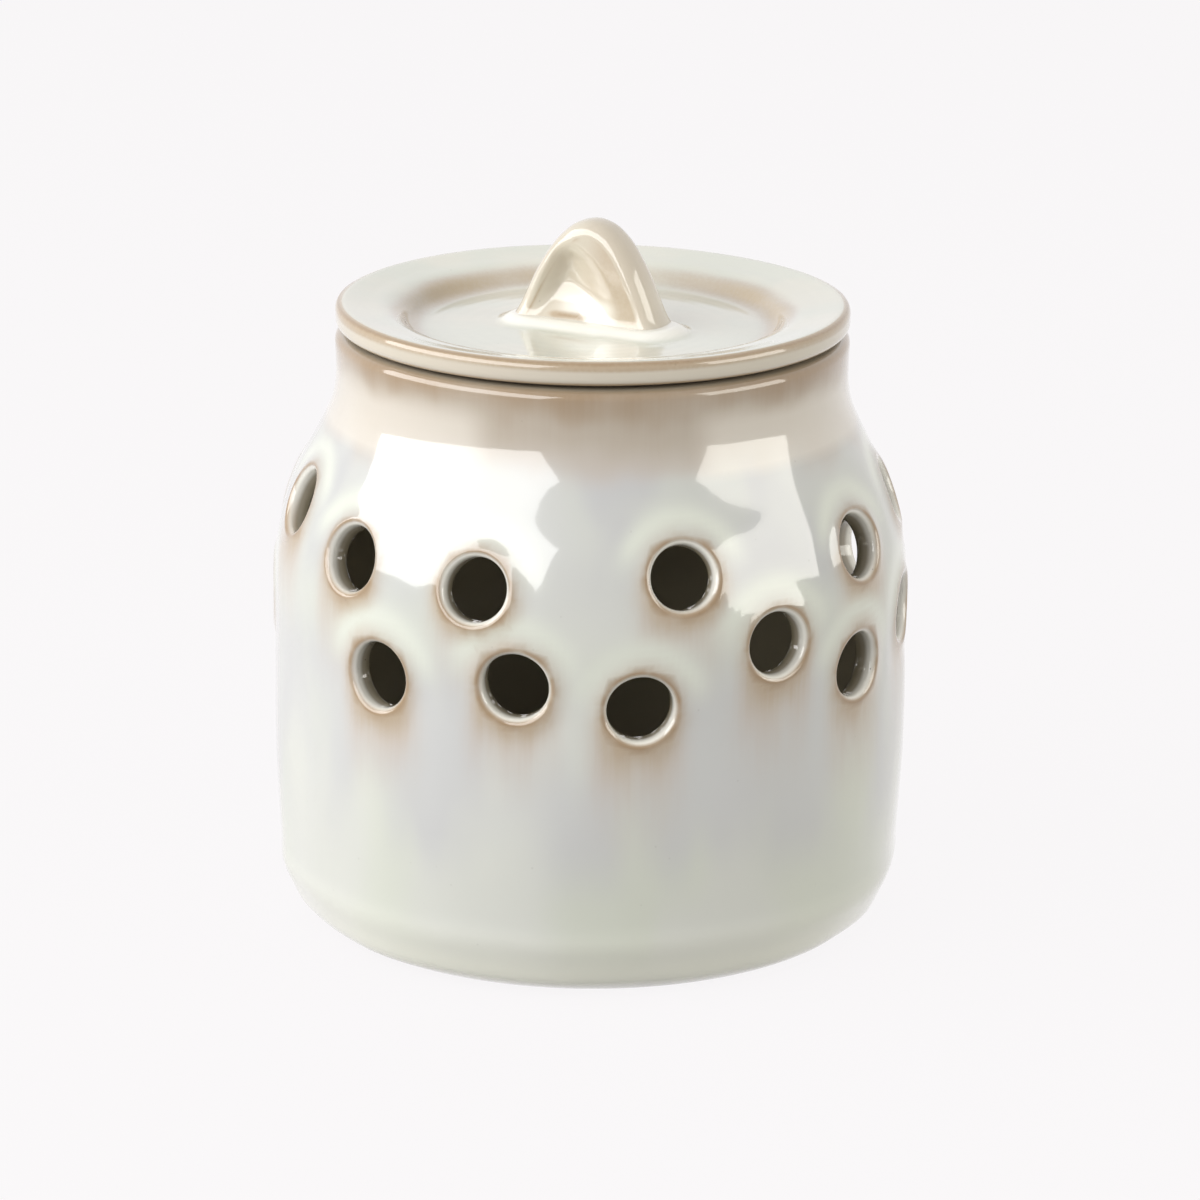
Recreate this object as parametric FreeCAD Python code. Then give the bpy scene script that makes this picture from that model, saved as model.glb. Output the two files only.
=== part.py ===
import FreeCAD, Part
import math
import os

# Stoneware garlic keeper: a round jar with two rows of punched air vents and a loose lid.
# Millimetres. Z points up, and the origin is the centre of the foot, on the table.

# Jar
JAR_HEIGHT = 119.0
BODY_RADIUS = 63.0
NECK_RADIUS = 50.4
WALL = 4.5
FLOOR_THICKNESS = 6.0
FOOT_RADIUS = 50.0
FOOT_RING_WIDTH = 6.0
FOOT_RECESS = 2.0
CORNER_HEIGHT = 14.5
BELLY_HEIGHT = 34.0
NECK_HEIGHT = 106.0
# How far the wall stands in from the belly on its way up, as height and inset
WALL_INSETS = [(58, 0.25), (75, 0.5), (88, 3.6), (99, 9.4)]
BASE_TAPER = 1.2
INNER_CORNER = 9.0
RIM_OUTER_ROUND = 2.2
RIM_INNER_ROUND = 1.0

# Air vents, punched square to the wall while the clay was soft
VENT_RADIUS = 6.4
VENT_LIP = 1.2
# Angle from the front in degrees, positive to the right, and height of each vent's centre
UPPER_VENTS = [
    (-101, 85), (-74, 88), (-49, 83), (-21, 82), (17, 85), (59, 84),
    (86, 88), (118, 86), (147, 83), (175, 85), (205, 83), (232, 86),
]
LOWER_VENTS = [
    (-90, 66), (-40, 62), (-13, 64), (9, 60), (35, 70), (56, 61), (79, 66),
    (115, 67), (146, 66), (172, 66), (200, 66), (222, 62), (250, 61),
]

# Lid
LID_RADIUS = 50.6
LID_EDGE_HEIGHT = 5.5
LID_TOP_ROUND = 1.6
LID_UNDER_ROUND = 1.7
# The lid rests on the inner part of the jar's rim, and its edge stands just clear of it
LID_SEAT_OVERLAP = 1.0
LID_EDGE_LIFT = 0.6
LID_CREST_RADIUS = 38.6
LID_CREST_DROP = 1.7
DISH_RADIUS = 35.0
DISH_FLOOR_RISE = 0.3
LID_THICKNESS = 4.5
LID_NECK_CLEARANCE = 2.0
PLUG_TAPER = 1.0

# Handle: an arched slab, pinched thin in the middle between finger and thumb
HANDLE_LENGTH = 31.0
HANDLE_HEIGHT = 21.7
HANDLE_THICKNESS = 10.0
HANDLE_TOP_THICKNESS = 8.0
HANDLE_EDGE_ROUND = 2.4
HANDLE_TURN = -26.8
HANDLE_SETBACK = 1.5
HANDLE_FOOT_SPREAD = 2.4
HANDLE_FOOT_HEIGHT = 1.8
THUMB_LENGTH = 17.0
THUMB_HEIGHT = 13.0
THUMB_DEPTH = 3.4
THUMB_CENTRE_HEIGHT = 7.6


def point(radius, height):
    """A point of a profile, in the plane that the profile is turned from."""
    return FreeCAD.Vector(radius, 0, height)


def line(start, end):
    return Part.LineSegment(start, end).toShape()


def arc(start, middle, end):
    return Part.Arc(start, middle, end).toShape()


def quarter(start, end, centre):
    """A quarter of an ellipse from start to end about a centre, as a curve through its middle."""
    first = start - centre
    second = end - centre
    steps = [math.radians(angle) for angle in (0, 22.5, 45, 67.5, 90)]
    points = [centre + first * math.cos(step) + second * math.sin(step) for step in steps]
    curve = Part.BSplineCurve()
    curve.interpolate(points)
    return curve.toShape()


def spline(points):
    curve = Part.BSplineCurve()
    curve.interpolate(points)
    return curve.toShape()


def turned(edges):
    """The solid that a closed profile makes when it is turned about Z."""
    face = Part.Face(Part.Wire(Part.__sortEdges__(edges)))
    solid = face.revolve(FreeCAD.Vector(0, 0, 0), FreeCAD.Vector(0, 0, 1), 360)
    return Part.Solid(solid.Shells[0])


def wall_points():
    """The outside of the wall, from the top of the foot corner to just below the rim."""
    low = [point(BODY_RADIUS - BASE_TAPER, CORNER_HEIGHT), point(BODY_RADIUS, BELLY_HEIGHT)]
    middle = [point(BODY_RADIUS - inset, height) for height, inset in WALL_INSETS]
    high = [
        point(NECK_RADIUS + 0.1, NECK_HEIGHT),
        point(NECK_RADIUS - 0.1, (NECK_HEIGHT + JAR_HEIGHT) / 2),
        point(NECK_RADIUS + 0.1, JAR_HEIGHT - RIM_OUTER_ROUND),
    ]
    return low + middle + high


def outer_wall():
    curve = Part.BSplineCurve()
    curve.interpolate(wall_points())
    return curve


def wall_at(height):
    """Radius of the outer wall at a height, and how far its outward normal tips up, in degrees."""
    curve = outer_wall()
    low, high = curve.FirstParameter, curve.LastParameter
    for _ in range(60):
        middle = (low + high) / 2
        if curve.value(middle).z < height:
            low = middle
        else:
            high = middle
    along = curve.tangent(low)[0]
    return curve.value(low).x, math.degrees(math.atan2(-along.x, along.z))


def inward(curve, count):
    """Points one wall thickness inside a curve, square to it."""
    points = []
    for index in range(count):
        share = index / (count - 1)
        parameter = curve.FirstParameter + share * (curve.LastParameter - curve.FirstParameter)
        along = curve.tangent(parameter)[0]
        inside = FreeCAD.Vector(-along.z, 0, along.x)
        points.append(curve.value(parameter) + inside * WALL)
    return points


def vent_punch(angle, height):
    """The clay that one punch takes out: a round hole that flares where it meets the outside."""
    radius, tip = wall_at(height)
    inner_end = radius - 3 * WALL
    outer_end = radius + 2 * WALL
    wide = VENT_RADIUS + VENT_LIP
    slope = math.sqrt(0.5)
    flare_middle = FreeCAD.Vector(
        radius - VENT_LIP + VENT_LIP * slope, 0, wide - VENT_LIP * slope
    )
    edges = [
        line(FreeCAD.Vector(inner_end, 0, 0), FreeCAD.Vector(inner_end, 0, VENT_RADIUS)),
        line(
            FreeCAD.Vector(inner_end, 0, VENT_RADIUS),
            FreeCAD.Vector(radius - VENT_LIP, 0, VENT_RADIUS),
        ),
        arc(
            FreeCAD.Vector(radius - VENT_LIP, 0, VENT_RADIUS),
            flare_middle,
            FreeCAD.Vector(radius, 0, wide),
        ),
        line(FreeCAD.Vector(radius, 0, wide), FreeCAD.Vector(outer_end, 0, wide)),
        line(FreeCAD.Vector(outer_end, 0, wide), FreeCAD.Vector(outer_end, 0, 0)),
        line(FreeCAD.Vector(outer_end, 0, 0), FreeCAD.Vector(inner_end, 0, 0)),
    ]
    face = Part.Face(Part.Wire(edges))
    punch = face.revolve(FreeCAD.Vector(0, 0, 0), FreeCAD.Vector(1, 0, 0), 360)
    punch = Part.Solid(punch.Shells[0])
    punch.rotate(FreeCAD.Vector(radius, 0, 0), FreeCAD.Vector(0, 1, 0), -tip)
    punch.translate(FreeCAD.Vector(0, 0, height))
    punch.rotate(FreeCAD.Vector(0, 0, 0), FreeCAD.Vector(0, 0, 1), angle - 90)
    return punch


def jar_body():
    """The jar: foot ring, rounded corner, wall, shoulder and neck in one clay, with its vents."""
    wall = outer_wall()
    outside = wall_points()
    inside = inward(wall, 9)
    rim_out = outside[-1]
    rim_in = inside[-1]
    foot_inner = FOOT_RADIUS - FOOT_RING_WIDTH
    floor = FLOOR_THICKNESS
    inside = [step for step in inside if step.z > floor + INNER_CORNER + 1]
    first = point(inside[0].x, floor + INNER_CORNER)
    inside = [first] + inside
    rim_in = point(rim_in.x, JAR_HEIGHT - RIM_INNER_ROUND)
    inside[-1] = rim_in
    rim_top_out = point(rim_out.x - RIM_OUTER_ROUND, JAR_HEIGHT)
    rim_top_in = point(rim_in.x + RIM_INNER_ROUND, JAR_HEIGHT)
    corner_centre = point(FOOT_RADIUS, CORNER_HEIGHT)
    floor_edge = point(first.x - INNER_CORNER, floor)
    edges = [
        line(point(0, FOOT_RECESS), point(foot_inner - 1, FOOT_RECESS)),
        line(point(foot_inner - 1, FOOT_RECESS), point(foot_inner, 0)),
        line(point(foot_inner, 0), point(FOOT_RADIUS, 0)),
        quarter(point(FOOT_RADIUS, 0), outside[0], corner_centre),
        wall.toShape(),
        quarter(rim_out, rim_top_out, point(rim_top_out.x, rim_out.z)),
        line(rim_top_out, rim_top_in),
        quarter(rim_top_in, rim_in, point(rim_top_in.x, rim_in.z)),
        spline(inside),
        quarter(first, floor_edge, point(floor_edge.x, first.z)),
        line(floor_edge, point(0, floor)),
        line(point(0, floor), point(0, FOOT_RECESS)),
    ]
    jar = turned(edges)
    for angle, height in UPPER_VENTS + LOWER_VENTS:
        jar = jar.cut(vent_punch(angle, height))
    return jar


def neck_inner_radius():
    return NECK_RADIUS + 0.1 - WALL


def plug_radius():
    return neck_inner_radius() - LID_NECK_CLEARANCE


def dish_floor():
    """Height of the flat floor of the lid's dish, where the handle stands."""
    return JAR_HEIGHT + DISH_FLOOR_RISE


def lid_plate():
    """The lid: a flat rim that rests on the jar, and a sunk dish that drops into the neck."""
    top = JAR_HEIGHT + LID_EDGE_HEIGHT
    under = dish_floor() - LID_THICKNESS
    lifted = JAR_HEIGHT + LID_EDGE_LIFT
    seat = point(neck_inner_radius() + RIM_INNER_ROUND + LID_SEAT_OVERLAP, JAR_HEIGHT)
    lift_end = point(seat.x + LID_EDGE_LIFT, lifted)
    edge_low = point(LID_RADIUS, lifted + LID_UNDER_ROUND)
    edge_high = point(LID_RADIUS, top - LID_TOP_ROUND)
    under_edge = point(LID_RADIUS - LID_UNDER_ROUND, lifted)
    top_edge = point(LID_RADIUS - LID_TOP_ROUND, top)
    crest = point(LID_CREST_RADIUS, top - LID_CREST_DROP)
    dish_edge = point(DISH_RADIUS, dish_floor())
    slope = [
        crest,
        point(LID_CREST_RADIUS - 1.5, crest.z - 1.0),
        point(DISH_RADIUS + 1.2, dish_floor() + 0.8),
        dish_edge,
    ]
    edges = [
        line(point(0, under), point(plug_radius() - PLUG_TAPER, under)),
        line(point(plug_radius() - PLUG_TAPER, under), point(plug_radius(), JAR_HEIGHT)),
        line(point(plug_radius(), JAR_HEIGHT), seat),
        line(seat, lift_end),
        line(lift_end, under_edge),
        quarter(under_edge, edge_low, point(under_edge.x, edge_low.z)),
        line(edge_low, edge_high),
        quarter(edge_high, top_edge, point(top_edge.x, edge_high.z)),
        line(top_edge, crest),
        spline(slope),
        line(dish_edge, point(0, dish_floor())),
        line(point(0, dish_floor()), point(0, under)),
    ]
    return turned(edges)


def arch_block():
    """The handle's arched front outline, carried through its thickness."""
    half = HANDLE_LENGTH / 2
    outline = [
        FreeCAD.Vector(-half, 0, 0),
        FreeCAD.Vector(-half * 0.76, 0, HANDLE_HEIGHT * 0.42),
        FreeCAD.Vector(-half * 0.40, 0, HANDLE_HEIGHT * 0.84),
        FreeCAD.Vector(0, 0, HANDLE_HEIGHT),
        FreeCAD.Vector(half * 0.46, 0, HANDLE_HEIGHT * 0.84),
        FreeCAD.Vector(half * 0.80, 0, HANDLE_HEIGHT * 0.44),
        FreeCAD.Vector(half, 0, 0),
    ]
    edges = [spline(outline), line(outline[-1], outline[0])]
    block = Part.Face(Part.Wire(edges)).extrude(FreeCAD.Vector(0, 3 * HANDLE_THICKNESS, 0))
    block.translate(FreeCAD.Vector(0, -1.5 * HANDLE_THICKNESS, 0))
    return block


def side_block():
    """The handle's end outline, thinner at the top, carried along its length."""
    low = HANDLE_THICKNESS / 2
    high = HANDLE_TOP_THICKNESS / 2
    top = 1.5 * HANDLE_HEIGHT
    corners = [
        FreeCAD.Vector(0, -low, 0),
        FreeCAD.Vector(0, low, 0),
        FreeCAD.Vector(0, high - (low - high) * 0.5, top),
        FreeCAD.Vector(0, -high + (low - high) * 0.5, top),
    ]
    face = Part.Face(Part.makePolygon(corners + corners[:1]))
    block = face.extrude(FreeCAD.Vector(3 * HANDLE_LENGTH, 0, 0))
    block.translate(FreeCAD.Vector(-1.5 * HANDLE_LENGTH, 0, 0))
    return block


def thumb_hollow(side):
    """The hollow that a thumb presses into one face of the handle."""
    ball = Part.makeSphere(1.0)
    stretch = FreeCAD.Matrix()
    stretch.scale(THUMB_LENGTH / 2, THUMB_DEPTH, THUMB_HEIGHT / 2)
    hollow = ball.transformGeometry(stretch)
    hollow.translate(FreeCAD.Vector(0, side * HANDLE_THICKNESS / 2, THUMB_CENTRE_HEIGHT))
    return hollow


def stadium(length, width, height):
    """A long round-ended outline at one height."""
    radius = width / 2
    straight = length / 2 - radius
    corners = [
        FreeCAD.Vector(-straight, -radius, height),
        FreeCAD.Vector(straight, -radius, height),
        FreeCAD.Vector(straight, radius, height),
        FreeCAD.Vector(-straight, radius, height),
    ]
    right = FreeCAD.Vector(straight + radius, 0, height)
    left = FreeCAD.Vector(-straight - radius, 0, height)
    return Part.Wire([
        line(corners[0], corners[1]),
        arc(corners[1], right, corners[2]),
        line(corners[2], corners[3]),
        arc(corners[3], left, corners[0]),
    ])


def handle_foot():
    """The low spread of slip that joins the handle to the lid."""
    wide = stadium(
        HANDLE_LENGTH + 2 * HANDLE_FOOT_SPREAD, HANDLE_THICKNESS + 2 * HANDLE_FOOT_SPREAD, 0
    )
    narrow = stadium(HANDLE_LENGTH - 1, HANDLE_THICKNESS - 1, HANDLE_FOOT_HEIGHT)
    return Part.makeLoft([wide, narrow], True)


def lid_handle():
    arch = arch_block().common(side_block())
    long_edges = [edge for edge in arch.Edges if edge.BoundBox.ZMax > HANDLE_HEIGHT / 2]
    arch = arch.makeFillet(HANDLE_EDGE_ROUND, long_edges)
    for side in (-1, 1):
        arch = arch.cut(thumb_hollow(side))
    handle = arch.fuse(handle_foot()).removeSplitter()
    handle.rotate(FreeCAD.Vector(0, 0, 0), FreeCAD.Vector(0, 0, 1), HANDLE_TURN)
    handle.translate(FreeCAD.Vector(0, HANDLE_SETBACK, dish_floor()))
    return Part.Solid(handle.Shells[0]) if len(handle.Solids) != 1 else handle.Solids[0]


def main():
    os.makedirs("parts", exist_ok=True)
    parts = {
        "jar_body": jar_body(),
        "lid_plate": lid_plate(),
        "lid_handle": lid_handle(),
    }
    for name, shape in parts.items():
        shape.exportStep("parts/" + name + ".step")
        box = shape.optimalBoundingBox(False, False)
        print(name, "solids", len(shape.Solids), "valid", shape.isValid(),
              "volume", round(shape.Volume), "z", round(box.ZMin, 2), round(box.ZMax, 2),
              "radius", round(box.XMax, 2))


main()
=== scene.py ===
# %% [markdown]
# # A stoneware garlic keeper
# Garlic keeps best in the dark with air moving round it. So this jar is thick walled, has two rows
# of round vents, and its lid only rests in the neck. It is three pieces of clay under one glaze:
# the jar, the lid, and the pinched handle that is joined to the lid.
#
# The frame gives the sizes of those pieces. This script makes their skins again with what a
# construction model leaves out: soft lips, the swell of a hand-thrown wall, and the glaze.

# %% Open the frame
import math

import bmesh
import bpy
import numpy as np
from mathutils import Matrix, Vector, noise


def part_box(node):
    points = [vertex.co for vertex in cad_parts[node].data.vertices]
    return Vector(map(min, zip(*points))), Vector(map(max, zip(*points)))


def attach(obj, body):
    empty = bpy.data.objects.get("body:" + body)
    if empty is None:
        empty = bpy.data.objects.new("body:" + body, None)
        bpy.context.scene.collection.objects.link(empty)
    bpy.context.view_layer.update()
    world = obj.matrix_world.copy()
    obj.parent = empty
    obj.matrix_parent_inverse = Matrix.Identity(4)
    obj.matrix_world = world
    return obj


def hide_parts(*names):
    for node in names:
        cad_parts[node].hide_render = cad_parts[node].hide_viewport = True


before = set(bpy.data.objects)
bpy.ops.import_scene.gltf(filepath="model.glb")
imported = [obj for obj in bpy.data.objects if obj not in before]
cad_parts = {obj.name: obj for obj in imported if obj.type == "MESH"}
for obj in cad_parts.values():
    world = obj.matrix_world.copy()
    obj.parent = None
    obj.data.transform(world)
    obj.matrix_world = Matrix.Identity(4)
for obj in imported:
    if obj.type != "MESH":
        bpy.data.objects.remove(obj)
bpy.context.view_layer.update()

MM = 0.001


# %% [markdown]
# ## Sizes
# The heights and radii below are read from the frame, so the skins fit the construction model. The
# clay's own details follow: the wall, the corner above the foot and the edges.

# %% Sizes of the jar, in millimetres
jar_low, jar_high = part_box("jar_body")
lid_low, lid_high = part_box("lid_plate")
handle_low, handle_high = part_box("lid_handle")

BODY_RADIUS = (jar_high.x - jar_low.x) / 2 / MM
RIM_HEIGHT = jar_high.z / MM
NECK_RADIUS = 50.4
NECK_HEIGHT = 106.0
WALL = 4.5
FLOOR = 6.0
FOOT_RADIUS = 50.0
FOOT_RING = 6.0
FOOT_RECESS = 2.0
CORNER_HEIGHT = 14.5
BELLY_HEIGHT = 34.0
BASE_TAPER = 1.2
INNER_CORNER = 9.0
RIM_OUTSIDE = 2.2
RIM_INSIDE = 1.0
# How far the wall stands in from the belly on its way up, as height and inset
WALL_INSETS = [(58, 0.25), (75, 0.5), (88, 3.6), (99, 9.4)]
print("jar radius", round(BODY_RADIUS, 2), "height", round(RIM_HEIGHT, 2))

# %% Vents: angle from the front in degrees, positive to the right, and height
UPPER_VENTS = [
    (-101, 85), (-74, 88), (-49, 83), (-21, 82), (17, 85), (59, 84),
    (86, 88), (118, 86), (147, 83), (175, 85), (205, 83), (232, 86),
]
LOWER_VENTS = [
    (-90, 66), (-40, 62), (-13, 64), (9, 60), (35, 70), (56, 61), (79, 66),
    (115, 67), (146, 66), (172, 66), (200, 66), (222, 62), (250, 61),
]
VENTS = UPPER_VENTS + LOWER_VENTS
VENT_RADIUS = 6.4
VENT_LIP = 1.2
INNER_LIP = 0.8
print(len(VENTS), "vents")

# %% [markdown]
# ## Helpers for profiles
# A thrown pot is a profile turned about its axis. A profile here is a list of (radius, height)
# points. `smooth_line` draws a soft curve through a few of them, and `quarter` rounds a corner.


# %% Profile helpers
def smooth_line(points, spacing):
    """A soft curve through a few points, cut into steps of one length."""
    points = np.array(points, float)
    steps = np.hypot(*np.diff(points, axis=0).T)
    along = np.concatenate([[0], np.cumsum(steps)])
    slope = np.gradient(points, along, axis=0)
    fine = np.linspace(0, along[-1], 2000)
    left = np.clip(np.searchsorted(along, fine, side="right") - 1, 0, len(along) - 2)
    span = (along[left + 1] - along[left])[:, None]
    part = ((fine - along[left])[:, None]) / span
    curve = (
        (2 * part**3 - 3 * part**2 + 1) * points[left]
        + (part**3 - 2 * part**2 + part) * span * slope[left]
        + (3 * part**2 - 2 * part**3) * points[left + 1]
        + (part**3 - part**2) * span * slope[left + 1]
    )
    return even_steps(curve, spacing)


def even_steps(curve, spacing):
    """The same line with its points about one spacing apart."""
    along = np.concatenate([[0], np.cumsum(np.hypot(*np.diff(curve, axis=0).T))])
    count = max(2, int(round(along[-1] / spacing)) + 1)
    wanted = np.linspace(0, along[-1], count)
    return np.stack([np.interp(wanted, along, curve[:, axis]) for axis in (0, 1)], axis=1)


def ease_bends(curve, reach):
    """The same line with its bends eased out over a few points, and its ends left alone."""
    offsets = np.arange(-3 * reach, 3 * reach + 1)
    weights = np.exp(-0.5 * (offsets / reach) ** 2)
    weights /= weights.sum()
    padded = np.pad(curve, ((3 * reach, 3 * reach), (0, 0)), mode="reflect", reflect_type="odd")
    eased = np.stack([np.convolve(padded[:, axis], weights, "valid") for axis in (0, 1)], axis=1)
    count = np.arange(len(curve))
    from_end = np.minimum(count, count[::-1])[:, None]
    keep = soft_step(from_end, 0, 2 * reach)
    return eased * keep + curve * (1 - keep)


def quarter(start, end, centre, steps):
    """A quarter of an ellipse from start to end."""
    angles = np.linspace(0, math.pi / 2, steps + 1)[:, None]
    first = np.subtract(start, centre)
    second = np.subtract(end, centre)
    return np.array(centre) + first * np.cos(angles) + second * np.sin(angles)


def soft_step(value, low, high):
    """0 below low, 1 above high, and a smooth rise between."""
    part = np.clip((value - low) / (high - low), 0, 1)
    return part * part * (3 - 2 * part)


def hump(value, centre, width, power=2):
    """1 at the centre and falling off softly, to about a third one width away."""
    return np.exp(-(((value - centre) / width) ** power))


def short_way(distance, whole):
    """A distance round a ring, taken the short way."""
    return (distance + whole / 2) % whole - whole / 2


def grid_faces(rows, width):
    """The faces of a grid whose rows each have width points."""
    corners = [row * width + step for row in range(rows - 1) for step in range(width - 1)]
    return [(corner, corner + 1, corner + width + 1, corner + width) for corner in corners]


# %% The wall's own profile, from the foot's corner up to just under the rim
NECK_WAIST = 0.1
FINE_STEP = 0.2
EASED_STEPS = 14
wall_outline = [(BODY_RADIUS - BASE_TAPER, CORNER_HEIGHT), (BODY_RADIUS, BELLY_HEIGHT)]
wall_outline += [(BODY_RADIUS - inset, height) for height, inset in WALL_INSETS]
wall_outline += [
    (NECK_RADIUS + NECK_WAIST, NECK_HEIGHT),
    (NECK_RADIUS - NECK_WAIST, (NECK_HEIGHT + RIM_HEIGHT) / 2),
    (NECK_RADIUS + NECK_WAIST, RIM_HEIGHT - RIM_OUTSIDE),
]
wall_fine = ease_bends(smooth_line(wall_outline, FINE_STEP), EASED_STEPS)
wall_along = np.concatenate([[0], np.cumsum(np.hypot(*np.diff(wall_fine, axis=0).T))])
wall_slope = np.gradient(wall_fine, wall_along, axis=0)
WALL_LENGTH = wall_along[-1]


def wall_place(along, depth):
    """Radius and height at a distance along the wall's outside and a depth into the clay."""
    radius = np.interp(along, wall_along, wall_fine[:, 0])
    height = np.interp(along, wall_along, wall_fine[:, 1])
    rise = np.interp(along, wall_along, wall_slope[:, 1])
    lean = np.interp(along, wall_along, wall_slope[:, 0])
    return radius - depth * rise, height + depth * lean


print("wall is", round(WALL_LENGTH, 1), "mm along its outside")

# %% [markdown]
# ## The punched wall
# A potter punches the vents through soft clay. The clay's edge is pressed round by the punch, and
# the glaze rounds it further, so each vent has a soft lip that catches the light.
#
# A hole cut by a boolean leaves a sharp edge and stretched faces, which a gloss glaze shows at
# once. So the wall is made flat first, as a slab of clay unrolled from the jar. Geometry Nodes
# take a square patch of cells out at each vent and set a *grommet* in its place: a ring of faces
# that turns from the square to a circle, rounds over the lip, runs through the clay, and ends in
# a square on the other side. Each grommet's edge meets the cells point for point.

# %% Where each vent falls on the flat slab
COLUMNS = 304
CELL = 2 * math.pi * BODY_RADIUS / COLUMNS
ROWS = int(round(WALL_LENGTH / CELL))
ROW = WALL_LENGTH / ROWS
SEAM_ANGLE = -172.0
HALF_PATCH = 6

slab_width = COLUMNS * CELL
vent_true = []
vent_flat = []
for angle, height in VENTS:
    turned = (angle - SEAM_ANGLE) % 360
    across = turned / 360 * slab_width
    up = float(np.interp(height, wall_fine[:, 1], wall_along))
    vent_true.append((across, up))
    vent_flat.append((round(across / CELL) * CELL, round(up / ROW) * ROW))
vent_true = np.array(vent_true)
vent_flat = np.array(vent_flat)
# How much narrower the jar is at each vent than at its belly
vent_narrow = np.interp(vent_true[:, 1], wall_along, wall_fine[:, 0]) / BODY_RADIUS
gaps = np.abs(vent_flat[:, None] - vent_flat[None]) / (CELL, ROW)
closest = np.sort(gaps.max(axis=2), axis=1)[:, 1].min()
print("slab", COLUMNS, "by", ROWS, "cells; closest two vents are", round(closest), "cells apart")


# %% The grommet that lines one vent
FLAT_MARGIN = 0.05
BORE_DEPTHS = (2.0, 2.8)


def grommet_rings():
    """Radius and depth of each ring between the two squares, from the outside in."""
    wide = VENT_RADIUS + VENT_LIP
    back_wide = VENT_RADIUS + INNER_LIP
    back = (VENT_RADIUS, INNER_LIP - WALL)
    outer = quarter((wide, 0), (VENT_RADIUS, -VENT_LIP), (wide, -VENT_LIP), 6)
    inner = quarter(back, (back_wide, -WALL), (back_wide, back[1]), 3)
    bore = [(VENT_RADIUS, -depth) for depth in BORE_DEPTHS]
    return [(wide + FLAT_MARGIN, 0.0), *outer[1:], *bore, back, *inner[1:]]


def square_edge():
    """The cell corners round the square patch, counter-clockwise from its lower right."""
    side = np.arange(-HALF_PATCH, HALF_PATCH)
    half = np.full(2 * HALF_PATCH, HALF_PATCH)
    edge = [np.stack(pair, axis=1) for pair in
            ((half, side), (-side, half), (-half, -side), (side, -half))]
    return np.concatenate(edge) * (CELL, ROW)


def make_grommet():
    square = square_edge()
    count = len(square)
    angles = np.linspace(-math.pi / 4, 2 * math.pi - math.pi / 4, count, endpoint=False)
    circle = np.stack([np.cos(angles), np.sin(angles)], axis=1)
    rings = grommet_rings()
    rows = [(square, 0.0), ((square + circle * rings[0][0]) / 2, 0.0)]
    rows += [(circle * radius, depth) for radius, depth in rings] + [(square, -WALL)]
    points = np.concatenate([
        np.column_stack([outline, np.full(count, depth)]) for outline, depth in rows
    ]) * MM
    faces = []
    for row in range(len(rows) - 1):
        for step in range(count):
            corner = row * count + step
            after = row * count + (step + 1) % count
            faces.append((corner, after, after + count, corner + count))
    mesh = bpy.data.meshes.new("grommet")
    mesh.from_pydata(points.tolist(), [], faces)
    return mesh


grommet = make_grommet()
GROMMET_FACES = len(grommet.polygons)
print("grommet has", GROMMET_FACES, "faces")


# %% A short way to add a node
def add(tree, kind, inputs=None, **properties):
    """A node with its properties set and its inputs set or linked."""
    made = tree.nodes.new(kind)
    for name, value in properties.items():
        setattr(made, name, value)
    for name, value in (inputs or {}).items():
        if isinstance(value, bpy.types.NodeSocket):
            tree.links.new(value, made.inputs[name])
        else:
            made.inputs[name].default_value = value
    return made


def math_node(tree, operation, first, second=0.0):
    return add(tree, "ShaderNodeMath", {0: first, 1: second}, operation=operation).outputs[0]


def times(tree, *values):
    """The product of some sockets and numbers."""
    result = values[0]
    for value in values[1:]:
        result = math_node(tree, "MULTIPLY", result, value)
    return result


# %% [markdown]
# The tree has one input for each size, so the same tree could punch another wall. A face goes if
# it lies inside the square of the vent that `Sample Nearest` finds for it. The two rows of vents
# are close, so heights count for more in that search. Otherwise the corner of one vent's square
# could be nearer to the vent above or below it, and would stay.


# %% The tree that punches the slab
TALL = (1.0, 1.35, 1.0)
WELD_SLAB = 0.05 * MM


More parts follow.
